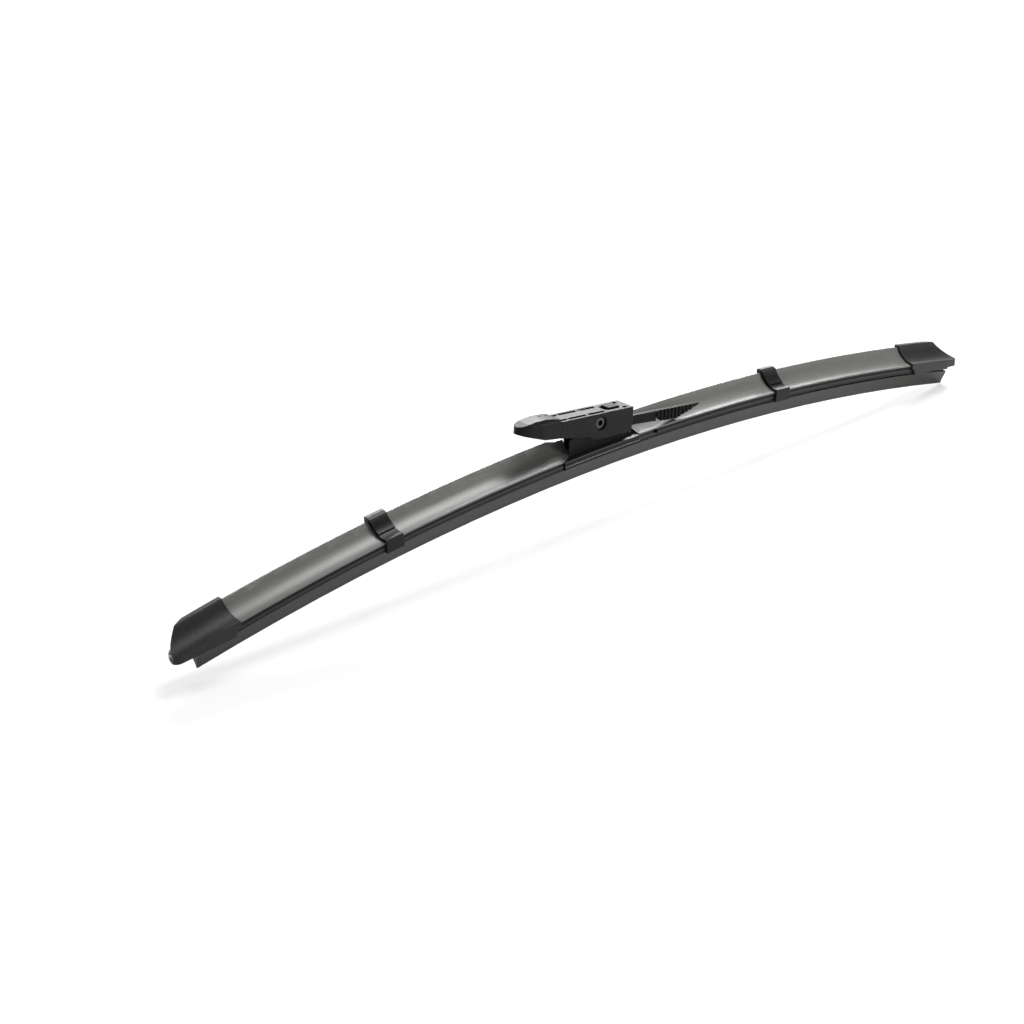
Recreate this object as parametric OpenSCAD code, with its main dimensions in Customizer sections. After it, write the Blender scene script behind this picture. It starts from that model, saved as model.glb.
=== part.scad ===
// Flat beam wiper blade: a one-piece rubber held by two spring steel rails,
// under a two-part spoiler, with a pivoting arm adaptor over its middle.
// X runs along the blade, +Y is the spoiler's crest side, +Z points away from the glass.
// The origin is the centre of the tubular pivot.

/* [Blade] */
// Length over the two end caps
blade_len = 532; // [440:1:650]
// Length of the rubber
rubber_len = 511; // [420:1:511]
// How far the relaxed lip rises between its two ends
blade_rise = 24.6; // [15:0.2:30]
// Height of the pivot above the lip
pivot_h = 26.4; // [26:0.1:29]
// Middle of the blade, from the pivot
blade_mid = 9; // [6:0.5:9]
// Middle of the rubber, from the pivot
rubber_mid = 14.5; // [6:0.5:14.5]
// Top of the arch, from the pivot
arch_mid = 5; // [0:0.5:8]

/* [Rubber] */
// Width of the wiping lip's edge
lip_w = 0.7; // [0.5:0.05:1]
// Height of the wedge above the lip's edge
wedge_h = 7.0; // [6.4:0.1:7.4]
// Width of the wedge's shoulders
shoulder_w = 5.0; // [4.4:0.1:5.4]
// Width of the hinge above the wedge
hinge_w = 0.9; // [0.7:0.05:1.2]
// Height of the hinge
hinge_h = 0.8; // [0.6:0.05:1]
// Width of the body that carries the rails
heel_w = 6.6; // [6:0.1:7]
// Width of the web between the rails
web_w = 1.8; // [1.4:0.1:2.2]
// Width of the head above the rails
head_w = 5.0; // [4:0.1:5.6]
// Height of the head
head_h = 1.0; // [0.8:0.05:1.1]

/* [Rails] */
// Height of the rails' underside above the lip
rail_z = 10.8; // [10.6:0.1:11]
// Width of one rail
rail_w = 3.8; // [3.4:0.1:4]
// Thickness of one rail
rail_t = 0.9; // [0.7:0.05:1]

/* [Spoiler] */
// Height of the crest above the lip
crest_z = 21.6; // [20:0.1:22]
// Distance of the crest behind the middle
crest_y = 4.9; // [4.4:0.1:5.2]
// Height of the front edge above the lip
brow_z = 14.3; // [13.9:0.1:14.6]
// Distance of the front edge before the middle
brow_y = 6.3; // [6.2:0.05:6.6]
// Radius of the hollow front face
scoop_r = 13.5; // [12:0.5:20]
// Wall of the fin
fin_wall = 1.3; // [1:0.1:1.6]
// Wall of the claws round the rails
claw_wall = 1.0; // [0.9:0.05:1.1]

/* [Clips and caps] */
// Distance of the left middle clip from the pivot
clip_left_x = 131.4; // [100:0.2:150]
// Distance of the right middle clip from the pivot
clip_right_x = 128.8; // [100:0.2:150]
// Width of a middle clip
clip_w = 10; // [8:0.5:16]
// Wall of the clips and caps over the spoiler
skin = 1.0; // [0.8:0.05:1.2]
// Length of the left end cap
cap_left_len = 37.5; // [32:0.5:42]
// Length of the right end cap
cap_right_len = 41.5; // [32:0.5:42]
// Length of the rounded corner at the cap's tip
cap_round = 24; // [22:0.5:28]
// Rise of the cap's lower edge towards its tip
cap_rise = 3.5; // [2:0.1:3.6]

/* [Base] */
// Length of the base's top flange
base_len = 50; // [46:1:54]
// Length of the right claw past the top flange
claw_reach = 13; // [8:0.5:16]
// Thickness of the base's top plate and claws
base_t = 1.0; // [0.8:0.05:1.1]
// Width of the hemmed edge along the base
flange_w = 2.0; // [1.6:0.1:2.2]

/* [Pivot] */
// Outer diameter of the tubular pivot
pin_d = 5.2; // [4.8:0.1:5.4]
// Bore through the pivot
pin_bore = 3.0; // [2.4:0.1:3.4]
// Diameter of the recess round each end of the pivot
recess_d = 7.2; // [6.8:0.1:8]
// Thickness of each ear of the base
ear_t = 1.2; // [1:0.05:1.3]

/* [Adaptor] */
// Tilt of the adaptor at rest, nose up
tilt = 6.3; // [5.5:0.1:6.3]
// Width of the adaptor
adaptor_w = 11.5; // [11.3:0.1:12.5]
// Length of the body before the pivot
body_front = 27.5; // [26:0.5:29]
// Length of the body behind the pivot
body_back = 21.5; // [21:0.5:23]
// Height of the deck above the pivot
deck_z = 5.2; // [5:0.1:5.8]
// Thickness of the deck
deck_t = 1.3; // [1:0.05:1.4]
// Height of the side walls above the base
wall_gap = 4.75; // [4.6:0.05:5.6]
// Thickness of the side walls
wall_t = 1.5; // [1.2:0.05:1.6]
// Reach of the nose before the pivot
nose_x = 52; // [48:0.5:54]
// Height of the crowned head above the pivot
head_top = 7.4; // [6.6:0.1:8]

/* [Release lever] */
// Distance of the lever's own pivot behind the blade's pivot
lever_x = 17.5; // [17:0.1:18]
// Distance of the lever's tip behind the pivot
tip_x = 69.5; // [66:0.5:72]
// Start of the ribbed grip
grip_x = 38.5; // [36:0.5:41]
// Height of the grip above the spoiler's front edge, before the adaptor's tilt
grip_gap = 5.9; // [5.8:0.1:7]
// Thickness of the slim arm
bar_t = 2.2; // [1.8:0.1:2.6]
// Spacing of the grip's ribs
rib_pitch = 2.6; // [2:0.1:3.5]

/* [Hidden] */

$fn = 64;
eps = 0.01;
arc_fn = 1080;
hull_fn = 32;

// Clearances
fit = 0.05;
gap = 0.3;
slip = 0.1;

// The arch: its centre lies below the middle of the rubber
lip_z = -pivot_h;
arch_r = (pow(rubber_len / 2, 2) + pow(blade_rise, 2)) / (2 * blade_rise);
arch_z = lip_z - arch_r;

// Heights of the section, from the lip
rail_top = rail_z + rail_t;
claw_in = web_w / 2 + fit + rail_w + slip;
claw_out = claw_in + claw_wall;
claw_z = rail_z - slip - claw_wall;
head_top_z = rail_top + fit + head_h;
floor_z = head_top_z + slip;
throat = heel_w / 2 + 0.25;
back_y = claw_out;

// Centre of the hollow front face's circle
chord = sqrt(pow(crest_y + brow_y, 2) + pow(crest_z - brow_z, 2));
chord_dir = [(crest_y + brow_y) / chord, (crest_z - brow_z) / chord];
scoop_off = sqrt(pow(scoop_r, 2) - pow(chord / 2, 2));
scoop_c = [(crest_y - brow_y) / 2 - chord_dir[1] * scoop_off,
    (crest_z + brow_z) / 2 + chord_dir[0] * scoop_off];

blade_left = blade_mid - blade_len / 2;
blade_right = blade_mid + blade_len / 2;
rubber_left = rubber_mid - rubber_len / 2;
rubber_right = rubber_mid + rubber_len / 2;
cap_wall = 4.6;
rail_end = 22.5;
rail_left = blade_left + rail_end;
rail_right = blade_right - rail_end;
cap_lap = 22;

half_w = adaptor_w / 2;
ear_r = pin_d / 2 + 1;
ear_out = half_w - wall_t - 0.85;
boss_in = ear_out + gap;

// Sweeps a section, drawn with x towards the crest side and y up from the lip, along the arch
module sweep(from, to) {
    a0 = asin((from - arch_mid) / arch_r);
    a1 = asin((to - arch_mid) / arch_r);
    translate([arch_mid, 0, arch_z])
        rotate([90, 0, 0])
            rotate([0, 0, 90 - a1])
                rotate_extrude(angle = a1 - a0, $fn = arc_fn)
                    translate([arch_r, 0])
                        rotate(-90)
                            children();
}

// Drop of the arch below its top at a place along the blade
function drop(x) = arch_r - sqrt(pow(arch_r, 2) - pow(x - arch_mid, 2));

module box2(y0, y1, z0, z1) {
    translate([y0, z0])
        square([y1 - y0, z1 - z0]);
}

// Wedge, hinge, heel, web and head in one moulded strip
module rubber_section() {
    hinge_z = wedge_h + 0.5;
    heel_z = hinge_z + hinge_h;
    lip = lip_w / 2;
    polygon([[-lip, 0], [lip, 0], [lip + 0.4, wedge_h * 0.3], [shoulder_w / 2, wedge_h],
        [shoulder_w / 2, hinge_z], [-shoulder_w / 2, hinge_z], [-shoulder_w / 2, wedge_h],
        [-lip - 0.4, wedge_h * 0.3]]);
    box2(-hinge_w / 2, hinge_w / 2, hinge_z - eps, heel_z + eps);
    polygon([[-heel_w / 2 + 0.7, heel_z], [heel_w / 2 - 0.7, heel_z], [heel_w / 2, heel_z + 0.7],
        [heel_w / 2, rail_z - fit], [-heel_w / 2, rail_z - fit], [-heel_w / 2, heel_z + 0.7]]);
    box2(-web_w / 2, web_w / 2, rail_z - fit - eps, rail_top + fit + eps);
    polygon([[-head_w / 2, rail_top + fit], [head_w / 2, rail_top + fit],
        [head_w / 2 - 0.4, head_top_z], [-head_w / 2 + 0.4, head_top_z]]);
}

module wiper_rubber() {
    color([0.10, 0.10, 0.11])
        sweep(rubber_left, rubber_right)
            rubber_section();
}

// One spring steel flexor in its groove
module rail(side) {
    y0 = web_w / 2 + fit;
    color([0.30, 0.31, 0.33])
        sweep(rail_left, rail_right)
            scale([side, 1])
                box2(y0, y0 + rail_w, rail_z, rail_top);
}

// Straight-sided blank of the spoiler, grown outwards by a wall, down to a height
module fin_blank(grow, foot) {
    polygon([[-brow_y - grow, foot], [back_y + grow, foot], [back_y + grow, crest_z - 2.6],
        [crest_y + 0.9 + grow, crest_z + grow - 0.2], [crest_y + 0.6 + grow, crest_z + grow],
        [crest_y + grow - 1.4, crest_z + grow], [-brow_y - grow, crest_z - 4]]);
}

// What the hollow front face takes off the blank
module fin_scoop(grow) {
    translate(scoop_c)
        circle(r = scoop_r - grow);
}

// Outline of the spoiler, grown outwards by a wall, down to a height
module fin_outline(grow, foot) {
    difference() {
        fin_blank(grow, foot);
        fin_scoop(grow);
    }
}

// The space that rails, head and heel take inside a claw section
module rail_channel() {
    box2(-claw_in, claw_in, rail_z - slip, rail_top + slip);
    box2(-head_w / 2 - slip, head_w / 2 + slip, rail_top, floor_z);
    box2(-throat, throat, claw_z - 1, rail_z);
}

// Hollow fin over two claws, with a beaded front strip between two grooves
module spoiler_section() {
    roof_z = floor_z + fin_wall;
    difference() {
        union() {
            fin_blank(0, brow_z - 0.8);
            box2(-claw_out, claw_out, claw_z, brow_z);
            translate([-claw_out + 0.4, rail_z + 0.7])
                circle(r = 0.8, $fn = 32);
        }
        fin_scoop(0);
        rail_channel();
        box2(-claw_out - 1, -claw_out + 0.45, brow_z - 1.5, brow_z - 0.8);
        intersection() {
            difference() {
                box2(-brow_y + 3.4, back_y - fin_wall, roof_z, crest_z - 3.4);
                translate(scoop_c)
                    circle(r = scoop_r + fin_wall);
            }
            polygon([[-brow_y, roof_z], [back_y - fin_wall, roof_z],
                [back_y - fin_wall, crest_z - 3.4], [crest_y - 0.6, crest_z - 3.4]]);
        }
    }
}

// Plan of the joint behind the left spoiler, and the relief under the adaptor's nose
slant = 7.8;
slant_y = -2;
slant_back = 8.8;
relief_x = -22;
relief_z = 20;

saddle_in = claw_in + fit;
saddle_out = saddle_in + flange_w;
saddle_top = floor_z + base_t;
saddle_foot = rail_z - slip - base_t;

// Heights of the adaptor and the lever, from the pivot
wall_z = pivot_h - saddle_top - wall_gap;
nose_low = -wall_z + 4.7;
arm_low = -max(wall_z - 3.2, 2.9);
grip_low = -(pivot_h - brow_z - grip_gap);

module spoiler_left() {
    color([0.24, 0.25, 0.25])
        difference() {
            sweep(blade_left + cap_lap, -base_len / 2 + slant_back + 1)
                spoiler_section();
            left_end_cut();
            // Sloping relief under the adaptor's nose
            across(-brow_y - 3, back_y + 3)
                polygon([[-body_front - 0.5, lip_z + crest_z - 0.3], [relief_x, lip_z + relief_z],
                    [0, lip_z + relief_z], [0, lip_z + crest_z + 5], [-body_front - 0.5, lip_z + crest_z + 5]]);
            // The base holds the rails here
            sweep(-base_len / 2 - gap, 0)
                box2(-brow_y - 1, back_y + 1, claw_z - 1, saddle_top + slip);
        }
}

module spoiler_right() {
    claws_from = base_len / 2 + claw_reach + gap;
    color([0.24, 0.25, 0.25])
        difference() {
            sweep(base_len / 2 + gap, blade_right - cap_lap)
                spoiler_section();
            // The base's long claws take over the rails here
            sweep(0, claws_from)
                box2(-brow_y - 1, back_y + 1, claw_z - 1, brow_z - 0.8);
        }
}

// Everything past the slanting joint between the left spoiler and the base
module left_end_cut() {
    from = -base_len / 2 - gap;
    translate([0, 0, lip_z])
        linear_extrude(height = 2 * pivot_h)
            polygon([[from, -brow_y - 3], [60, -brow_y - 3], [60, back_y + 2],
                [from + slant_back, back_y + 2], [from + slant, slant_y], [from, -brow_y - 0.2]]);
}

// Strap over the spoiler that hooks under its claws, thicker over the crest, with a raised lip at the front
module clip_section() {
    lug_y = brow_y + slip + skin;
    foot = claw_z - slip;
    hook_z = crest_z - 4.5;
    difference() {
        union() {
            fin_blank(skin + slip, foot - 0.6);
            fin_blank(skin + slip + 0.6, hook_z);
        }
        difference() {
            fin_scoop(skin + slip);
            box2(-lug_y, -lug_y + 2, brow_z, brow_z + skin + 0.35);
            box2(-brow_y - 5, back_y + 5, hook_z, crest_z + 20);
        }
        fin_scoop(skin + slip + 0.6);
        fin_outline(slip, brow_z - 0.9);
        box2(-brow_y - slip, back_y + slip, foot, brow_z - 0.8);
        box2(-throat, throat, foot - skin - 1, foot + 1);
    }
}

module mid_clip(x) {
    color([0.12, 0.12, 0.13])
        sweep(x - clip_w / 2, x + clip_w / 2)
            clip_section();
}

// What the rounded crest-side corner takes off an end cap, its tip at the origin
module rear_corner(round_x) {
    rear = back_y + skin + slip + 1;
    round_y = 7;
    difference() {
        translate([-round_x, -round_y])
            square([round_x + 12, rear + round_y + 1]);
        translate([-round_x, -round_y])
            scale([round_x, rear + round_y])
                circle(r = 1, $fn = 96);
    }
}

// What the rounded front corner takes off it
module front_corner(r) {
    front = brow_y + skin + slip;
    difference() {
        translate([-r, -front - 2])
            square([r + 12, r + 2]);
        translate([-r, -front + r])
            circle(r = r);
    }
}

// Shell that takes the ends of spoiler, rails and rubber
module end_cap(side) {
    tip = side > 0 ? blade_right : blade_left;
    inner_end = tip - side * (side > 0 ? cap_right_len : cap_left_len);
    inner_slant = 0.4;
    open_end = inner_end - side * (inner_slant + 1);
    lo = min(tip, inner_end - side * inner_slant);
    hi = max(tip, inner_end - side * inner_slant);
    foot = claw_z - slip - skin;
    pocket = tip - side * cap_lap + side * gap;
    rubber_slot = tip - side * cap_wall;
    foot_in = lip_z - drop(inner_end) + foot;
    color([0.11, 0.11, 0.12])
        difference() {
            sweep(lo, hi)
                fin_outline(skin + slip, foot);
            // Rounded corners, longer above the skirt
            translate([tip, 0, lip_z - drop(tip) + brow_z - 0.6])
                scale([side, 1, 1])
                    linear_extrude(height = 60)
                        rear_corner(cap_round);
            translate([tip, 0, lip_z - 60])
                scale([side, 1, 1])
                    linear_extrude(height = 100)
                        rear_corner(14);
            translate([tip, 0, lip_z - 60])
                scale([side, 1, 1])
                    linear_extrude(height = 100)
                        front_corner(3.4);
            // Slanting inner end
            translate([inner_end, 0, lip_z - 60])
                scale([side, 1, 1])
                    linear_extrude(height = 100)
                        polygon([[0, -brow_y - 4], [0, -brow_y - skin], [-inner_slant - 0.1, back_y + 2.5],
                            [-inner_slant - 6, back_y + 2.5], [-inner_slant - 6, -brow_y - 4]]);
            // Lower edge, rising towards the tip
            across(-brow_y - 6, back_y + 6)
                polygon([[inner_end, foot_in - 0.01], [tip + side, lip_z - drop(tip) + foot + cap_rise],
                    [tip + side, foot_in - 30], [inner_end, foot_in - 30]]);
            // Pocket round the spoiler
            sweep(min(open_end, pocket), max(open_end, pocket)) {
                fin_outline(slip, brow_z - 1);
                box2(-claw_out - 0.65 - slip, back_y + slip, claw_z - slip, brow_z - 0.9);
            }
            // Slot for the rubber
            sweep(min(open_end, rubber_slot), max(open_end, rubber_slot)) {
                box2(-head_w / 2 - slip, head_w / 2 + slip, rail_z - slip, floor_z);
                box2(-throat, throat, foot - 1, rail_z);
            }
            // Notch in the skirt's inner corner
            translate([inner_end, -brow_y - skin, foot_in])
                rotate([90, 0, 0])
                    cylinder(r = 4.4, h = 6, center = true);
        }
}

// Sheet channel crimped round both rails, with longer claws to the right
module base_saddle() {
    edge = base_len / 2;
    claw_end = edge + claw_reach;
    claw_top = brow_z - 0.8 - gap / 2;
    color([0.08, 0.08, 0.09])
        difference() {
            union() {
                sweep(-edge, edge) {
                    box2(-saddle_out, saddle_out, saddle_foot, saddle_top);
                    translate([-saddle_out, rail_z + 0.4])
                        circle(r = 0.3, $fn = 24);
                }
                sweep(edge - 1, claw_end)
                    box2(-saddle_in - base_t, saddle_in + base_t, saddle_foot, claw_top);
            }
            // Channel for the rails, open below for the rubber
            sweep(-edge - 1, claw_end + 1) {
                box2(-saddle_in, saddle_in, rail_z - slip, floor_z);
                box2(-throat, throat, saddle_foot - 1, rail_z);
            }
            // Rounded ends of the claws
            for (side = [-1, 1])
                translate([claw_end, side * (saddle_in + base_t / 2), lip_z - drop(claw_end) + saddle_top])
                    rotate([90, 0, 0])
                        cylinder(r = 2.6, h = 4, center = true);
            // Rivet holes
            for (x = rivet_xs)
                translate([x, 0, 0])
                    cylinder(d = rivet_d + 2 * fit, h = 2 * pivot_h, center = true);
        }
}

rivet_d = 2.2;
// Rivets, set in from the two ends of the top flange
rivet_in_left = 12.5;
rivet_in_right = 9;
rivet_xs = [rivet_in_left - base_len / 2, base_len / 2 - rivet_in_right];

// Moulded tower on the saddle: two tall ears for the pivot and a rear wall
module pivot_bracket() {
    edge = base_len / 2;
    foot = saddle_top + eps;
    joint_x = -edge;
    color([0.09, 0.09, 0.10])
        difference() {
            union() {
                sweep(-edge, edge - 2)
                    box2(-ear_out, back_y - claw_wall / 2, foot, saddle_top + plinth);
                for (side = [-1, 1])
                    translate([0, side * (ear_out - ear_t / 2), 0])
                        rotate([90, 0, 0])
                            linear_extrude(height = ear_t, center = true)
                                ear_outline(lip_z + saddle_top);
                translate([0, back_y - claw_wall, 0])
                    rotate([90, 0, 0])
                        linear_extrude(height = ear_t)
                            rear_wall_outline(lip_z + saddle_top);
            }
            // Slanting joint with the left spoiler
            translate([0, 0, lip_z])
                linear_extrude(height = 2 * pivot_h)
                    polygon([[joint_x - 20, -20], [joint_x, -20], [joint_x, -brow_y - 0.2], [joint_x + slant, slant_y],
                        [joint_x + slant_back, back_y + 2], [joint_x - 20, back_y + 2]]);
            // Seat on the base's top plate
            sweep(-edge - 20, edge + 20)
                box2(-20, 20, saddle_foot - 3, foot);
            rotate([90, 0, 0])
                cylinder(d = pin_d, h = adaptor_w, center = true);
            for (x = rivet_xs)
                translate([x, 0, 0])
                    cylinder(d = rivet_d + 2 * fit, h = 2 * pivot_h, center = true);
        }
}

plinth = 1.4;
// Right end of the bracket's foot, short of the top flange's end
foot_end = base_len / 2 - 4;

// Side view of one ear: a tall front web and a round eye on a broad foot
module ear_outline(plate_z) {
    hull() {
        circle(r = ear_r);
        translate([-8, plate_z + 3])
            square([16, 1]);
    }
    polygon([[-22, plate_z - 0.1], [-22, plate_z + 6.5], [-18, plate_z + 8.8], [-8, plate_z + 9.4],
        [8, plate_z + 4], [14, plate_z + 2.8], [foot_end, plate_z + 1], [foot_end, plate_z - 0.1]]);
}

// Side view of the wall behind the ears, lower where the adaptor dips
module rear_wall_outline(plate_z) {
    polygon([[-24, plate_z - 0.4], [-24, plate_z + 4.4], [-4, plate_z + 3.8], [foot_end, plate_z + 1.6],
        [foot_end + 1.6, plate_z - 0.3], [0, plate_z]]);
}

module bracket_rivets() {
    shank_z = lip_z + floor_z;
    color([0.55, 0.56, 0.58])
        for (x = rivet_xs)
            translate([x, 0, shank_z - drop(x)])
                union() {
                    cylinder(d = rivet_d, h = base_t + plinth + 0.5);
                    translate([0, 0, base_t + plinth + 2 * eps])
                        cylinder(d1 = 4, d2 = 2.8, h = 0.8);
                }
}

module pivot_tube() {
    len = 2 * (half_w - 0.9);
    color([0.45, 0.46, 0.48])
        rotate([90, 0, 0])
            difference() {
                cylinder(d = pin_d, h = len, center = true);
                cylinder(d = pin_bore, h = len + 1, center = true);
            }
}

// Spacer on the tube between the two ears
module pivot_sleeve() {
    len = 2 * (ear_out - ear_t) - 2 * fit;
    color([0.70, 0.70, 0.66])
        rotate([90, 0, 0])
            difference() {
                cylinder(d = pin_d + 1.6, h = len, center = true);
                cylinder(d = pin_d + 2 * fit, h = len + 1, center = true);
            }
}

module tilted() {
    rotate([0, tilt, 0])
        children();
}

// Extrudes a side view, drawn with x along the blade and y up, across the blade
module across(y0, y1) {
    translate([0, y1, 0])
        rotate([90, 0, 0])
            linear_extrude(height = y1 - y0)
                children();
}

// Side view of the body: shallow at the nose end, deep behind the pivot
module body_outline() {
    difference() {
        polygon([[-body_front, nose_low], [-7, -wall_z + 2], [-3, -wall_z], [body_back, -wall_z],
            [body_back, deck_z], [-body_front, deck_z]]);
        difference() {
            translate([body_back - 2.5, -wall_z - 1])
                square([4, 3.5]);
            translate([body_back - 2.5, -wall_z + 2.5])
                circle(r = 2.5);
        }
    }
}

lever_z = -1.5;
latch_x = [5.5, 14.5];
latch_w = 5;
latch_top = 6;
pocket_spans = [[-26.3, -22.1], [-20.8, -9.1], [-7.5, 3.4], [16.2, 18.6]];

// Channel-shaped body that straddles the ears
module adaptor_body() {
    in_y = half_w - wall_t;
    color([0.13, 0.13, 0.14])
        tilted()
            difference() {
                union() {
                    difference() {
                        across(-half_w, half_w)
                            body_outline();
                        translate([-body_front + wall_t, -in_y, -20])
                            cube([100, 2 * in_y, 20 + deck_z - deck_t]);
                    }
                    // Bosses that carry the tube's ends
                    for (side = [-1, 1])
                        translate([0, side * (half_w + boss_in) / 2, 0])
                            rotate([90, 0, 0])
                                cylinder(d = recess_d + 1, h = half_w - boss_in, center = true);
                }
                rotate([90, 0, 0])
                    cylinder(d = pin_d + 2 * fit, h = 2 * adaptor_w, center = true);
                for (side = [-1, 1])
                    translate([0, side * (half_w + 0.1), 0])
                        rotate([90, 0, 0])
                            cylinder(d = recess_d, h = 2.2, center = true);
                // Pockets between deck and side walls
                for (side = [-1, 1])
                    for (span = pocket_spans)
                        translate([span[0], side * 3.6 - 0.9, deck_z - 1])
                            cube([span[1] - span[0], 1.8, 2]);
                // Window for the latch
                translate([latch_x[0] - gap, -latch_w / 2 - gap, deck_z - deck_t - 1])
                    cube([latch_x[1] - latch_x[0] + 2 * gap, latch_w + 2 * gap, 4]);
                // Blind sockets for the lever's trunnions
                translate([lever_x, 0, lever_z])
                    rotate([90, 0, 0])
                        cylinder(r = 1.25, h = 2 * (in_y + 0.8), center = true);
            }
}

// Plan of the head: square at the seam, bow-shaped at the nose
module head_plan(inset) {
    hull() {
        translate([-body_front - 12, -half_w + inset])
            square([12 - gap / 3, adaptor_w - 2 * inset]);
        translate([-nose_x + 9 + inset, 0])
            scale([9, half_w - 0.5 - inset])
                circle(r = 1, $fn = hull_fn);
    }
}

// Side view of the head: crowned top, underside rising to the nose
module head_outline() {
    seam_x = -body_front - gap / 3;
    polygon([[seam_x, nose_low], [-37, nose_low + 0.8], [-nose_x, 1.6], [-nose_x, deck_z],
        [-47, head_top - 0.9], [-42, head_top - 0.2], [-37, head_top], [-32, head_top - 0.3], [seam_x, head_top - 1]]);
}

// Flat-backed nose piece with a crowned, round-edged top
module adaptor_head() {
    color([0.14, 0.14, 0.15])
        tilted()
            difference() {
                intersection() {
                    across(-half_w, half_w)
                        head_outline();
                    union() {
                        translate([0, 0, -20])
                            linear_extrude(height = 20 + deck_z)
                                head_plan(0);
                        hull() {
                            translate([0, 0, deck_z - eps])
                                linear_extrude(height = 0.1)
                                    head_plan(0);
                            translate([0, 0, deck_z + 0.9])
                                linear_extrude(height = 0.1)
                                    head_plan(0.5);
                            translate([0, 0, head_top])
                                linear_extrude(height = 0.2)
                                    head_plan(2);
                        }
                    }
                }
                // Two small moulding pits
                for (x = [-35, -30.5])
                    translate([x, 2, head_top - 0.8])
                        cylinder(d = 1.4, h = 3);
            }
}

// Ribbed wedge of the grip, drawn from the side
module grip_outline() {
    polygon([[grip_x, 0.1], [tip_x, -0.5], [tip_x, -1.4], [grip_x + 14.5, grip_low],
        [grip_x + 6.5, grip_low + 0.5], [grip_x + 3.9, grip_low + 0.7], [grip_x + 0.5, -2]]);
}

// Lever on two trunnions inside the body: a latch block before them, a slim ribbed arm behind
module release_lever() {
    in_y = half_w - wall_t;
    arm_half = in_y - gap;
    bar_in = -half_w + 0.4 + bar_t;
    rib_n = floor((tip_x - grip_x - 6) / rib_pitch);
    color([0.12, 0.12, 0.13])
        tilted()
            union() {
                // Latch with a ramp at its front
                across(-latch_w / 2, latch_w / 2)
                    polygon([[latch_x[0], 0], [latch_x[0] + 3, -2], [latch_x[1], -2], [latch_x[1], latch_top],
                        [latch_x[0] + 1.9, latch_top], [latch_x[0], 3]]);
                // Arm inside the body
                across(-arm_half, arm_half)
                    polygon([[latch_x[0] + 3, arm_low + 1.6], [24, arm_low], [24, -0.4], [latch_x[1], 1.5], [latch_x[0] + 3, 1.5]]);
                translate([lever_x, 0, lever_z])
                    rotate([90, 0, 0])
                        cylinder(r = 1.2, h = 2 * (in_y + 0.6), center = true);
                // Step to the slim arm
                across(-half_w + 0.6, arm_half)
                    polygon([[body_back + gap, arm_low + 0.1], [24.4, arm_low], [24.4, -0.4], [body_back + gap, 0.2]]);
                // Thin top edge and recessed web of the neck
                across(-half_w + 0.4, bar_in)
                    polygon([[body_back + gap, 0.3], [grip_x + 1, 0.1], [grip_x + 1, -1], [body_back + gap, -0.9]]);
                across(-half_w + 1.0, bar_in)
                    polygon([[body_back + gap, 0], [grip_x + 1, 0], [grip_x + 1, grip_low + 0.8],
                        [body_back + gap, arm_low + 0.1]]);
                // Grip with its ribs
                across(-half_w + 0.7, bar_in)
                    grip_outline();
                intersection() {
                    across(-half_w + 0.2, bar_in)
                        grip_outline();
                    for (i = [0 : rib_n])
                        translate([grip_x + 1.2 + i * rib_pitch, -adaptor_w, -20])
                            cube([rib_pitch * 0.5, 2 * adaptor_w, 40]);
                }
            }
}

wiper_rubber();
rail(-1);  // front_rail
rail(1);  // rear_rail
spoiler_left();
spoiler_right();
end_cap(-1);  // end_cap_left
end_cap(1);  // end_cap_right
mid_clip(-clip_left_x);  // mid_clip_left
mid_clip(clip_right_x);  // mid_clip_right
base_saddle();
pivot_bracket();
bracket_rivets();
pivot_tube();
pivot_sleeve();
adaptor_body();
adaptor_head();
release_lever();
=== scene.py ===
"""Wiper blade on a pale floor: finishes, rounded edges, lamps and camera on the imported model."""

import math

import bmesh
import bpy
from bpy.props import FloatProperty, FloatVectorProperty, PointerProperty
from mathutils import Matrix, Vector


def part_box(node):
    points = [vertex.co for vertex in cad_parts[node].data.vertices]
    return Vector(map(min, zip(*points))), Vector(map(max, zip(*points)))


bl_info = {
    "name": "Wiper Blade Dresser",
    "version": (1, 0, 0),
    "blender": (4, 5, 0),
    "location": "View3D > Sidebar > Wiper",
    "description": "Rounds the edges of a beam wiper blade and gives each piece its finish",
    "category": "Object",
}

# Arch of the blade in metres: lip below the pivot, middle of the arch, its radius
PIVOT_UP = 0.0264
ARCH_MID = 0.005
ARCH_RADIUS = 1.33913

# Bands of the section, as heights over the arched lip in metres. A rise has where it starts
# and where it is full, and a bead also has where it starts to fade and where it is gone.
# Below the fin's foot the claws are black, which also paints shade into the groove under the brow
FIN_FOOT = (0.0134, 0.0136)
CLAW_BEAD = (0.0112, 0.0115, 0.0119, 0.0122)
SADDLE_TOP = (0.0133, 0.0136)
SADDLE_BEAD = (0.0109, 0.0111, 0.0114, 0.0116)

# Patterns per metre along, across and up the blade
CLOUD = (90.0, 90.0, 90.0)
FINE_GRAIN = (2600.0, 2600.0, 2600.0)
MOTTLE = (800.0, 800.0, 800.0)
DRAWN_LINES = (14.0, 900.0, 900.0)
BROAD_BANDS = (6.0, 210.0, 210.0)
RUBBER_BLOOM = (60.0, 240.0, 240.0)
RUBBER_LINES = (8.0, 1400.0, 1400.0)
RUBBER_GRAIN = (3200.0, 3200.0, 3200.0)
RAIL_LINES = (20.0, 2600.0, 2600.0)
RIVET_LINES = (900.0, 900.0, 900.0)
TUBE_LINES = (2000.0, 300.0, 2000.0)
STEEL_PATCH = (160.0, 160.0, 160.0)
PAINT_PEBBLE = (1400.0, 1400.0, 1400.0)
PAINT_DUST = (45.0, 160.0, 160.0)

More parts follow.
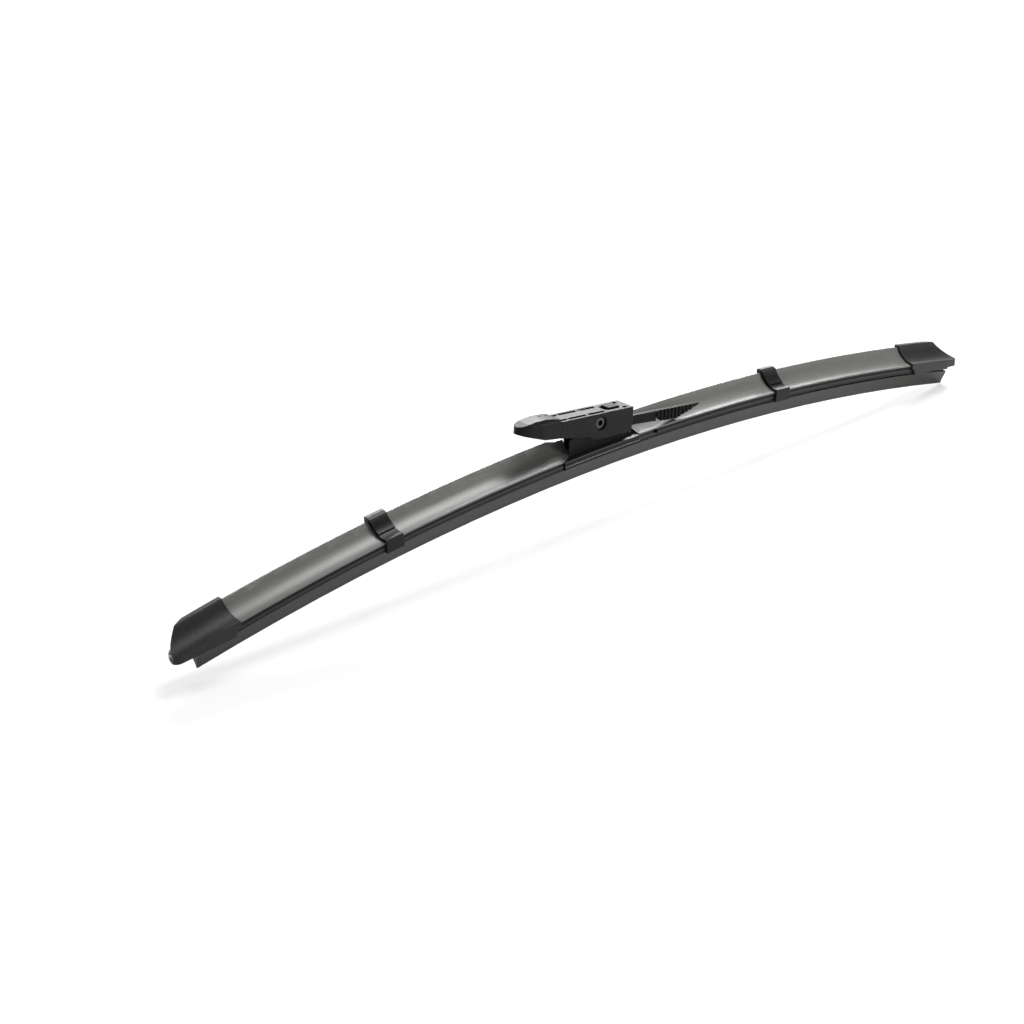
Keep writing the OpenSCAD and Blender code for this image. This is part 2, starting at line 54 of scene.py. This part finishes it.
# Heights of the surface patterns in metres, and the rounding of the rubber's edges
PLASTIC_RELIEF = 0.00012
RUBBER_RELIEF = 0.00008
STEEL_RELIEF = 0.00004
PAINT_RELIEF = 0.00006
RUBBER_EDGE = 0.00015

# Black of the claws under the fin: the plastic's second tone, and also painted shade in the groove
# under the brow
CLAW_BLACK_AND_GROOVE_SHADE = (0.014, 0.014, 0.014)
SLEEVE_GREY = (0.30, 0.30, 0.28)
WHITE = (1.0, 1.0, 1.0, 1.0)

# Gloss of plastic and paint under their coats, and how far the patterns move the roughness
DULL_GLOSS = 0.12
ROUGH_SWING = 0.14

# Lamps: name, place, target, length and width in metres, and the setting with the power
LAMPS = (
    ("key lamp", (0.66, 0.19, 1.39), (-0.02, 0.0, 0.0), (0.7, 0.7), "key_power"),
    ("front fill", (1.0, -1.2, 0.42), (-0.05, 0.0, 0.0), (0.5, 0.5), "fill_power"),
    ("rim lamp", (1.15, 1.25, 0.78), (0.0, 0.0, 0.0), (1.0, 0.5), "rim_power"),
)

# Floor: gap under the lip, distances over which it turns white to the camera, and how white
FLOOR_GAP = 0.0002
FADE_NEAR = 0.35
FADE_FAR = 1.3
WHITE_NEAR = 0.62
WHITE_FAR = 1.0

# Camera: turn, tilt and roll in degrees, lens and sensor in millimetres, place in metres
CAMERA_TURN = 42.5804
CAMERA_DOWN = 24.1666
CAMERA_ROLL = 0.298
CAMERA_LENS = 92.916
CAMERA_SENSOR = 36.0
CAMERA_PLACE = (-0.832912, -0.847856, 0.484486)

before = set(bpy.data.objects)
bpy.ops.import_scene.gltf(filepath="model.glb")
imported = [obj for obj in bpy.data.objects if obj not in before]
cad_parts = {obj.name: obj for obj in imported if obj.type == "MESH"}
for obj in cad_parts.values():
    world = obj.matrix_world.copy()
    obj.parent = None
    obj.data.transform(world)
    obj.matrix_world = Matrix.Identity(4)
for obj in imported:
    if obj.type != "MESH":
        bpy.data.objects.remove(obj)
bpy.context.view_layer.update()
rubber_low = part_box("wiper_rubber")[0]


class WiperColours(bpy.types.PropertyGroup):
    """Colours of the blade's finishes"""

    rubber: FloatVectorProperty(
        name="Rubber", description="Colour of the rubber strip",
        subtype="COLOR", size=3, min=0.0, max=1.0, default=(0.027, 0.027, 0.025),
    )
    spoiler: FloatVectorProperty(
        name="Spoiler", description="Colour of both spoiler halves",
        subtype="COLOR", size=3, min=0.0, max=1.0, default=(0.104, 0.104, 0.096),
    )
    cap: FloatVectorProperty(
        name="End caps", description="Colour of the end caps",
        subtype="COLOR", size=3, min=0.0, max=1.0, default=(0.016, 0.016, 0.016),
    )
    clip: FloatVectorProperty(
        name="Middle clips", description="Colour of the middle clips",
        subtype="COLOR", size=3, min=0.0, max=1.0, default=(0.009, 0.009, 0.009),
    )
    base: FloatVectorProperty(
        name="Base", description="Colour of the painted base saddle",
        subtype="COLOR", size=3, min=0.0, max=1.0, default=(0.004, 0.004, 0.0045),
    )
    bracket: FloatVectorProperty(
        name="Bracket", description="Colour of the moulded bracket",
        subtype="COLOR", size=3, min=0.0, max=1.0, default=(0.005, 0.005, 0.005),
    )
    adaptor: FloatVectorProperty(
        name="Adaptor", description="Colour of the adaptor's body and head",
        subtype="COLOR", size=3, min=0.0, max=1.0, default=(0.008, 0.008, 0.008),
    )
    lever: FloatVectorProperty(
        name="Lever", description="Colour of the release lever",
        subtype="COLOR", size=3, min=0.0, max=1.0, default=(0.008, 0.008, 0.008),
    )
    steel: FloatVectorProperty(
        name="Steel", description="Colour of the pivot tube and the rivets",
        subtype="COLOR", size=3, min=0.0, max=1.0, default=(0.07, 0.07, 0.07),
    )
    rail: FloatVectorProperty(
        name="Rails", description="Colour of the coated spring steel rails",
        subtype="COLOR", size=3, min=0.0, max=1.0, default=(0.10, 0.10, 0.11),
    )


class WiperEdges(bpy.types.PropertyGroup):
    """Rounding of the moulded edges"""

    adaptor: FloatProperty(
        name="Adaptor edges", description="Radius on the adaptor's outer edges",
        subtype="DISTANCE", unit="LENGTH", min=0.0, max=0.002, default=0.0007,
    )
    moulded: FloatProperty(
        name="Moulded edges", description="Radius on the end caps and the middle clips",
        subtype="DISTANCE", unit="LENGTH", min=0.0, max=0.002, default=0.0004,
    )
    pressed: FloatProperty(
        name="Pressed edges", description="Radius on the base, bracket, spoiler and lever",
        subtype="DISTANCE", unit="LENGTH", min=0.0, max=0.002, default=0.00025,
    )


class WiperStudio(bpy.types.PropertyGroup):
    """Floor, lamps and room light"""

    floor_tone: FloatProperty(
        name="Floor tone", description="Brightness of the floor under plain light",
        subtype="FACTOR", min=0.0, max=1.0, default=0.90,
    )
    key_power: FloatProperty(
        name="Key lamp", description="Power of the large lamp overhead",
        subtype="POWER", min=0.0, max=400.0, default=24.0,
    )
    rim_power: FloatProperty(
        name="Rim lamp", description="Power of the lamp behind the blade",
        subtype="POWER", min=0.0, max=400.0, default=40.0,
    )
    fill_power: FloatProperty(
        name="Front fill", description="Power of the low lamp in front on the right",
        subtype="POWER", min=0.0, max=400.0, default=9.0,
    )
    world_level: FloatProperty(
        name="Room light", description="Strength of the even light from all sides",
        min=0.0, max=2.0, default=0.30,
    )
    floor_radius: FloatProperty(
        name="Floor radius", description="Radius of the floor disc",
        subtype="DISTANCE", unit="LENGTH", min=1.0, max=20.0, default=8.0,
    )


class Sock:
    """Socket of a node tree that takes part in arithmetic"""

    def __init__(self, nodes, socket):
        self.nodes = nodes
        self.socket = socket

    def _math(self, operation, first, second):
        return self.nodes.node("ShaderNodeMath", {"operation": operation}, {0: first, 1: second})

    def __add__(self, other):
        return self._math("ADD", self, other)

    def __radd__(self, other):
        return self._math("ADD", other, self)

    def __sub__(self, other):
        return self._math("SUBTRACT", self, other)

    def __rsub__(self, other):
        return self._math("SUBTRACT", other, self)

    def __mul__(self, other):
        return self._math("MULTIPLY", self, other)

    def __rmul__(self, other):
        return self._math("MULTIPLY", other, self)


class Nodes:
    """Emptied node tree of a material or of the room"""

    def __init__(self, owner):
        owner.use_nodes = True
        self.tree = owner.node_tree
        self.tree.nodes.clear()

    def plug(self, socket, value):
        """Links a socket, or sets it to a value"""
        if isinstance(value, Sock):
            self.tree.links.new(value.socket, socket)
        else:
            socket.default_value = value

    def node(self, kind, settings=None, inputs=None, out=0, **named):
        """Adds a node, applies its settings, fills its sockets and returns one output"""
        made = self.tree.nodes.new(kind)
        for key, value in (settings or {}).items():
            setattr(made, key, value)
        values = dict(inputs or {})
        values.update((key.replace("_", " "), value) for key, value in named.items())
        for key, value in values.items():
            self.plug(made.inputs[key], value)
        return Sock(self, made.outputs[out])

    def camera_mix(self, kind, factor, lit, seen):
        """Ends the tree: the camera sees one shader by a factor, and light meets the other"""
        rays = self.node("ShaderNodeLightPath", out="Is Camera Ray")
        mix = self.node("ShaderNodeMixShader", inputs={0: rays * factor, 1: lit, 2: seen})
        self.plug(self.tree.nodes.new(kind).inputs["Surface"], mix)


class Shade(Nodes):
    """Node material with a Principled shader and an arithmetic way to drive it"""

    def __init__(self, name):
        self.material = bpy.data.materials.new(name)
        super().__init__(self.material)
        self.shader = self.tree.nodes.new("ShaderNodeBsdfPrincipled")
        output = self.tree.nodes.new("ShaderNodeOutputMaterial")
        self.tree.links.new(self.shader.outputs["BSDF"], output.inputs["Surface"])
        self.place = self.node("ShaderNodeTexCoord", out="Object")

    def axis(self, index):
        """One object coordinate: 0 along the blade, 1 across it, 2 up"""
        return self.node("ShaderNodeSeparateXYZ", inputs={"Vector": self.place}, out=index)

    def above_lip(self):
        """Height over the arched lip, in metres"""
        along = self.axis(0)
        fall = (along - ARCH_MID) * (along - ARCH_MID) * (0.5 / ARCH_RADIUS)
        return self.axis(2) + PIVOT_UP + fall + fall * fall * (0.5 / ARCH_RADIUS)

    def rise(self, value, start, full):
        """Runs smoothly from 0 to 1 while a value goes from start to full"""
        return self.node(
            "ShaderNodeMapRange", {"interpolation_type": "SMOOTHSTEP"},
            inputs={"Value": value, "From Min": start, "From Max": full},
        )

    def bead(self, value, start, full, fade, gone):
        """Runs from 0 up to 1 and back to 0 as a value passes four marks"""
        return self.rise(value, start, full) - self.rise(value, fade, gone)

    def noise(self, scale, detail, rough):
        """Noise from 0 to 1 with its own patterns per metre on each axis"""
        spread = self.node(
            "ShaderNodeMapping", {"vector_type": "POINT"}, Vector=self.place, Scale=scale,
        )
        return self.node(
            "ShaderNodeTexNoise", {"noise_dimensions": "3D"},
            Vector=spread, Scale=1.0, Detail=detail, Roughness=rough,
        )

    def mixed(self, mask, low, high):
        """Colour that runs from one to another with a mask"""
        return self.node(
            "ShaderNodeMix", {"data_type": "RGBA"}, inputs={0: mask, 6: low, 7: high}, out=2,
        )

    def tinted(self, colour, mask, darker, lighter):
        """Colour that runs from a darker to a lighter shade of itself with a mask"""
        low = tuple(c * darker for c in colour) + (1.0,)
        high = tuple(min(1.0, c * lighter) for c in colour) + (1.0,)
        return self.mixed(mask, low, high)

    def set(self, **values):
        """Sets or links sockets of the Principled shader"""
        for key, value in values.items():
            self.plug(self.shader.inputs[key.replace("_", " ")], value)

    def bump(self, height, strength, distance, radius=0.0):
        """Drives the normal with a height pattern, over rounded edges where a radius is given"""
        values = {"Height": height, "Strength": strength, "Distance": distance}
        if radius > 0.0:
            values["Normal"] = self.node("ShaderNodeBevel", {"samples": 6}, Radius=radius)
        self.set(Normal=self.node("ShaderNodeBump", **values))


def moulded_plastic(name, colour, rough, shine, radius=0.0, grain=0.3):
    """Moulded plastic with a fine grain, faint cloudiness and a mottled gloss"""
    shade = Shade(name)
    cloud = shade.noise(CLOUD, 3.0, 0.55)
    fine = shade.noise(FINE_GRAIN, 2.0, 0.6)
    mottle = shade.noise(MOTTLE, 3.0, 0.6)
    shade.set(
        Base_Color=shade.tinted(colour, cloud, 0.72, 1.28),
        Roughness=cloud * ROUGH_SWING + mottle * ROUGH_SWING + (rough - ROUGH_SWING),
        Specular_IOR_Level=shine * 0.4,
        Coat_Weight=mottle * shine * 1.3,
        Coat_Roughness=rough,
    )
    shade.bump(fine * 0.4 + mottle * 0.6, grain, PLASTIC_RELIEF, radius)
    return shade.material


def drawn_plastic(name, colour, rough, shine, radius, grain=0.35):
    """Drawn plastic with lengthwise streaks: a grey fin over black claws with a glossy bead. The
    black of the claws is the plastic's second tone and also painted shade in the groove under the
    brow.
    """
    shade = Shade(name)
    fine = shade.noise(FINE_GRAIN, 2.0, 0.6)
    mottle = shade.noise(MOTTLE, 3.0, 0.6)
    lines = shade.noise(DRAWN_LINES, 3.0, 0.65)
    bands = shade.noise(BROAD_BANDS, 2.0, 0.5)
    streaks = lines * 0.55 + bands * 0.45
    height = shade.above_lip()
    fin = shade.rise(height, *FIN_FOOT)
    bead = shade.bead(height, *CLAW_BEAD)
    grey = shade.tinted(colour, streaks, 0.6, 1.4)
    # Black claws below the fin, which also stand in for painted shade in the groove under the brow
    black = shade.tinted(CLAW_BLACK_AND_GROOVE_SHADE, streaks, 0.7, 1.3)
    shade.set(
        Base_Color=shade.mixed(fin, black, grey),
        Roughness=streaks * ROUGH_SWING + mottle * ROUGH_SWING + (rough - ROUGH_SWING),
        Specular_IOR_Level=DULL_GLOSS,
        Coat_Weight=fin * shine + bead * 0.35,
        Coat_Roughness=rough,
    )
    shade.bump(fine * 0.3 + lines * 0.7, grain, PLASTIC_RELIEF, radius)
    return shade.material


def rubber(name, colour):
    """Moulded rubber with a dull bloom and faint lines along its length"""
    shade = Shade(name)
    bloom = shade.noise(RUBBER_BLOOM, 4.0, 0.6)
    lines = shade.noise(RUBBER_LINES, 2.0, 0.6)
    fine = shade.noise(RUBBER_GRAIN, 2.0, 0.6)
    shade.set(
        Base_Color=shade.tinted(colour, bloom * 0.6 + lines * 0.4, 0.7, 1.35),
        Roughness=bloom * 0.2 + 0.48,
        Specular_IOR_Level=0.4,
    )
    shade.bump(fine * 0.4 + lines * 0.6, 0.4, RUBBER_RELIEF, RUBBER_EDGE)
    return shade.material


def steel(name, colour, rough, pattern):
    """Worked steel with fine lines and a few dull patches"""
    shade = Shade(name)
    lines = shade.noise(pattern, 3.0, 0.6)
    patch = shade.noise(STEEL_PATCH, 3.0, 0.5)
    shade.set(
        Base_Color=shade.tinted(colour, lines * 0.6 + patch * 0.4, 0.75, 1.2),
        Metallic=1.0,
        Roughness=patch * 0.2 + lines * 0.1 + (rough - 0.15),
    )
    shade.bump(lines, 0.25, STEEL_RELIEF)
    return shade.material


def painted(name, colour, radius):
    """Baked black coat on sheet metal, glossy on its bead and top and dulled by dust elsewhere"""
    shade = Shade(name)
    pebble = shade.noise(PAINT_PEBBLE, 2.0, 0.5)
    dust = shade.noise(PAINT_DUST, 4.0, 0.6)
    height = shade.above_lip()
    glossy = shade.bead(height, *SADDLE_BEAD) + shade.rise(height, *SADDLE_TOP)
    shade.set(
        Base_Color=shade.tinted(colour, dust, 0.8, 1.5),
        Roughness=dust * 0.2 + 0.2,
        Specular_IOR_Level=DULL_GLOSS,
        Coat_Weight=glossy * 0.9 + 0.1 - dust * 0.1,
        Coat_Roughness=0.15,
    )
    shade.bump(pebble, 0.2, PAINT_RELIEF, radius)
    return shade.material


def dress(node, material):
    """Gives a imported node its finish"""
    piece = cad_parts[node]
    piece.data.materials.clear()
    piece.data.materials.append(material)


class WIPER_OT_rubber(bpy.types.Operator):
    """Finish the one-piece rubber strip"""

    bl_idname = "wiper.rubber"
    bl_label = "Rubber strip"

    def execute(self, context):
        colours = context.scene.wiper_colours
        dress("wiper_rubber", rubber("black rubber", colours.rubber))
        return {"FINISHED"}


class WIPER_OT_rails(bpy.types.Operator):
    """Finish the two spring steel rails"""

    bl_idname = "wiper.rails"
    bl_label = "Spring rails"

    def execute(self, context):
        colours = context.scene.wiper_colours
        coated = steel("coated spring steel", colours.rail, 0.42, RAIL_LINES)
        for node in ("front_rail", "rear_rail"):
            dress(node, coated)
        return {"FINISHED"}


class WIPER_OT_spoilers(bpy.types.Operator):
    """Finish the two spoiler halves"""

    bl_idname = "wiper.spoilers"
    bl_label = "Spoiler halves"

    def execute(self, context):
        scene = context.scene
        for node, shine in (("spoiler_left", 1.0), ("spoiler_right", 0.7)):
            drawn = drawn_plastic(
                node + " drawn plastic", scene.wiper_colours.spoiler, rough=0.43, shine=shine,
                radius=scene.wiper_edges.pressed,
            )
            dress(node, drawn)
        return {"FINISHED"}


class WIPER_OT_caps(bpy.types.Operator):
    """Finish the end caps"""

    bl_idname = "wiper.caps"
    bl_label = "End caps"

    def execute(self, context):
        scene = context.scene
        moulded = moulded_plastic(
            "cap plastic", scene.wiper_colours.cap, rough=0.42, shine=0.3,
            radius=scene.wiper_edges.moulded,
        )
        for node in ("end_cap_left", "end_cap_right"):
            dress(node, moulded)
        return {"FINISHED"}


class WIPER_OT_clips(bpy.types.Operator):
    """Finish the middle clips"""

    bl_idname = "wiper.clips"
    bl_label = "Middle clips"

    def execute(self, context):
        scene = context.scene
        moulded = moulded_plastic(
            "clip plastic", scene.wiper_colours.clip, rough=0.38, shine=0.2,
            radius=scene.wiper_edges.moulded,
        )
        for node in ("mid_clip_left", "mid_clip_right"):
            dress(node, moulded)
        return {"FINISHED"}


class WIPER_OT_base(bpy.types.Operator):
    """Finish the painted base, its bracket and the rivets"""

    bl_idname = "wiper.base"
    bl_label = "Base"

    def execute(self, context):
        scene = context.scene
        colours = scene.wiper_colours
        saddle = painted("baked black coat", colours.base, scene.wiper_edges.pressed)
        tower = moulded_plastic(
            "bracket plastic", colours.bracket, rough=0.45, shine=0.12,
            radius=scene.wiper_edges.pressed,
        )
        heads = steel("rivet steel", colours.steel, 0.4, RIVET_LINES)
        dress("base_saddle", saddle)
        dress("pivot_bracket", tower)
        dress("bracket_rivets", heads)
        return {"FINISHED"}


class WIPER_OT_pivot(bpy.types.Operator):
    """Finish the pivot tube and its sleeve"""

    bl_idname = "wiper.pivot"
    bl_label = "Pivot"

    def execute(self, context):
        colours = context.scene.wiper_colours
        tube = steel("turned tube steel", colours.steel, 0.34, TUBE_LINES)
        sleeve = moulded_plastic("sleeve plastic", SLEEVE_GREY, rough=0.4, shine=0.5, grain=0.35)
        dress("pivot_tube", tube)
        dress("pivot_sleeve", sleeve)
        return {"FINISHED"}


class WIPER_OT_adaptor(bpy.types.Operator):
    """Finish the arm adaptor's body and head"""

    bl_idname = "wiper.adaptor"
    bl_label = "Arm adaptor"

    def execute(self, context):
        scene = context.scene
        moulded = moulded_plastic(
            "adaptor plastic", scene.wiper_colours.adaptor, rough=0.40, shine=0.15,
            radius=scene.wiper_edges.adaptor,
        )
        for node in ("adaptor_body", "adaptor_head"):
            dress(node, moulded)
        return {"FINISHED"}


class WIPER_OT_lever(bpy.types.Operator):
    """Finish the release lever"""

    bl_idname = "wiper.lever"
    bl_label = "Release lever"

    def execute(self, context):
        scene = context.scene
        moulded = moulded_plastic(
            "lever plastic", scene.wiper_colours.lever, rough=0.42, shine=0.08,
            radius=scene.wiper_edges.pressed,
        )
        dress("release_lever", moulded)
        return {"FINISHED"}


class WIPER_OT_stage(bpy.types.Operator):
    """Lay the pale floor, hang the lamps and set the camera"""

    bl_idname = "wiper.stage"
    bl_label = "Floor, lamps and camera"

    def execute(self, context):
        scene = context.scene
        studio = scene.wiper_studio
        self.lay_floor(scene, studio)
        self.light_room(scene, studio)
        for name, place, target, sizes, power in LAMPS:
            self.hang_lamp(scene, name, place, target, sizes, getattr(studio, power))
        self.set_camera(scene)
        scene.view_settings.view_transform = "Standard"
        return {"FINISHED"}

    def lay_floor(self, scene, studio):
        """Round floor just under the two ends of the lip, which far off is white to the camera"""
        bm = bmesh.new()
        bmesh.ops.create_circle(bm, cap_ends=True, segments=96, radius=studio.floor_radius)
        bmesh.ops.translate(bm, verts=bm.verts, vec=(0.0, 0.0, rubber_low.z - FLOOR_GAP))
        mesh = bpy.data.meshes.new("floor")
        bm.to_mesh(mesh)
        bm.free()
        floor = bpy.data.objects.new("floor", mesh)
        scene.collection.objects.link(floor)
        material = bpy.data.materials.new("pale floor")
        nodes = Nodes(material)
        place = nodes.node("ShaderNodeTexCoord", out="Object")
        away = nodes.node(
            "ShaderNodeVectorMath", {"operation": "LENGTH"}, inputs={0: place}, out="Value",
        )
        whiter = nodes.node(
            "ShaderNodeMapRange", Value=away, From_Min=FADE_NEAR, From_Max=FADE_FAR,
            To_Min=WHITE_NEAR, To_Max=WHITE_FAR,
        )
        matt = nodes.node("ShaderNodeBsdfDiffuse", Color=(studio.floor_tone,) * 3 + (1.0,))
        glow = nodes.node("ShaderNodeEmission", Color=WHITE, Strength=1.0)
        nodes.camera_mix("ShaderNodeOutputMaterial", whiter, matt, glow)
        mesh.materials.append(material)

    def light_room(self, scene, studio):
        """Even room light, which the camera alone sees as white"""
        scene.world = bpy.data.worlds.new("room")
        nodes = Nodes(scene.world)
        lit = nodes.node("ShaderNodeBackground", Color=WHITE, Strength=studio.world_level)
        seen = nodes.node("ShaderNodeBackground", Color=WHITE, Strength=1.0)
        nodes.camera_mix("ShaderNodeOutputWorld", 1.0, lit, seen)

    def hang_lamp(self, scene, name, place, target, sizes, power):
        """Area lamp at a place that shines at a target"""
        data = bpy.data.lights.new(name, "AREA")
        data.energy = power
        data.shape = "RECTANGLE"
        data.size, data.size_y = sizes
        lamp = bpy.data.objects.new(name, data)
        lamp.location = place
        lamp.rotation_mode = "QUATERNION"
        lamp.rotation_quaternion = (Vector(target) - Vector(place)).to_track_quat("-Z", "Y")
        scene.collection.objects.link(lamp)

    def set_camera(self, scene):
        """Camera on the line of sight that the blade's edges and caps give"""
        turn = math.radians(CAMERA_TURN)
        down = math.radians(CAMERA_DOWN)
        level = math.cos(down)
        right = Vector((math.cos(turn), -math.sin(turn), 0.0))
        ahead = Vector((math.sin(turn) * level, math.cos(turn) * level, -math.sin(down)))
        up = right.cross(ahead)
        roll = Matrix.Rotation(math.radians(CAMERA_ROLL), 4, ahead)
        turned = Matrix((right, up, -ahead)).transposed().to_4x4()
        data = bpy.data.cameras.new("camera")
        data.sensor_width = CAMERA_SENSOR
        data.lens = CAMERA_LENS
        data.clip_start = 0.05
        data.clip_end = 50.0
        camera = bpy.data.objects.new("camera", data)
        camera.matrix_world = Matrix.Translation(CAMERA_PLACE) @ roll @ turned
        scene.collection.objects.link(camera)
        scene.camera = camera


class WIPER_PT_panel(bpy.types.Panel):
    """Lists the steps and their settings"""

    bl_idname = "WIPER_PT_panel"
    bl_label = "Wiper Blade"
    bl_space_type = "VIEW_3D"
    bl_region_type = "UI"
    bl_category = "Wiper"

    def draw(self, context):
        layout = self.layout
        for group, _ in GROUPS:
            settings = getattr(context.scene, group)
            column = layout.column()
            for name in settings.bl_rna.properties.keys():
                if name not in ("rna_type", "name"):
                    column.prop(settings, name)
        for step in STEPS:
            layout.operator(step.bl_idname)


STEPS = (
    WIPER_OT_rubber,
    WIPER_OT_rails,
    WIPER_OT_spoilers,
    WIPER_OT_caps,
    WIPER_OT_clips,
    WIPER_OT_base,
    WIPER_OT_pivot,
    WIPER_OT_adaptor,
    WIPER_OT_lever,
    WIPER_OT_stage,
)
GROUPS = (
    ("wiper_colours", WiperColours),
    ("wiper_edges", WiperEdges),
    ("wiper_studio", WiperStudio),
)


def register():
    for name, group in GROUPS:
        bpy.utils.register_class(group)
        setattr(bpy.types.Scene, name, PointerProperty(type=group))
    for step in STEPS:
        bpy.utils.register_class(step)
    bpy.utils.register_class(WIPER_PT_panel)


def unregister():
    bpy.utils.unregister_class(WIPER_PT_panel)
    for step in reversed(STEPS):
        bpy.utils.unregister_class(step)
    for name, group in reversed(GROUPS):
        delattr(bpy.types.Scene, name)
        bpy.utils.unregister_class(group)


def main():
    register()
    bpy.ops.wiper.rubber()
    bpy.ops.wiper.rails()
    bpy.ops.wiper.spoilers()
    bpy.ops.wiper.caps()
    bpy.ops.wiper.clips()
    bpy.ops.wiper.base()
    bpy.ops.wiper.pivot()
    bpy.ops.wiper.adaptor()
    bpy.ops.wiper.lever()
    bpy.ops.wiper.stage()


if __name__ == "__main__":
    main()
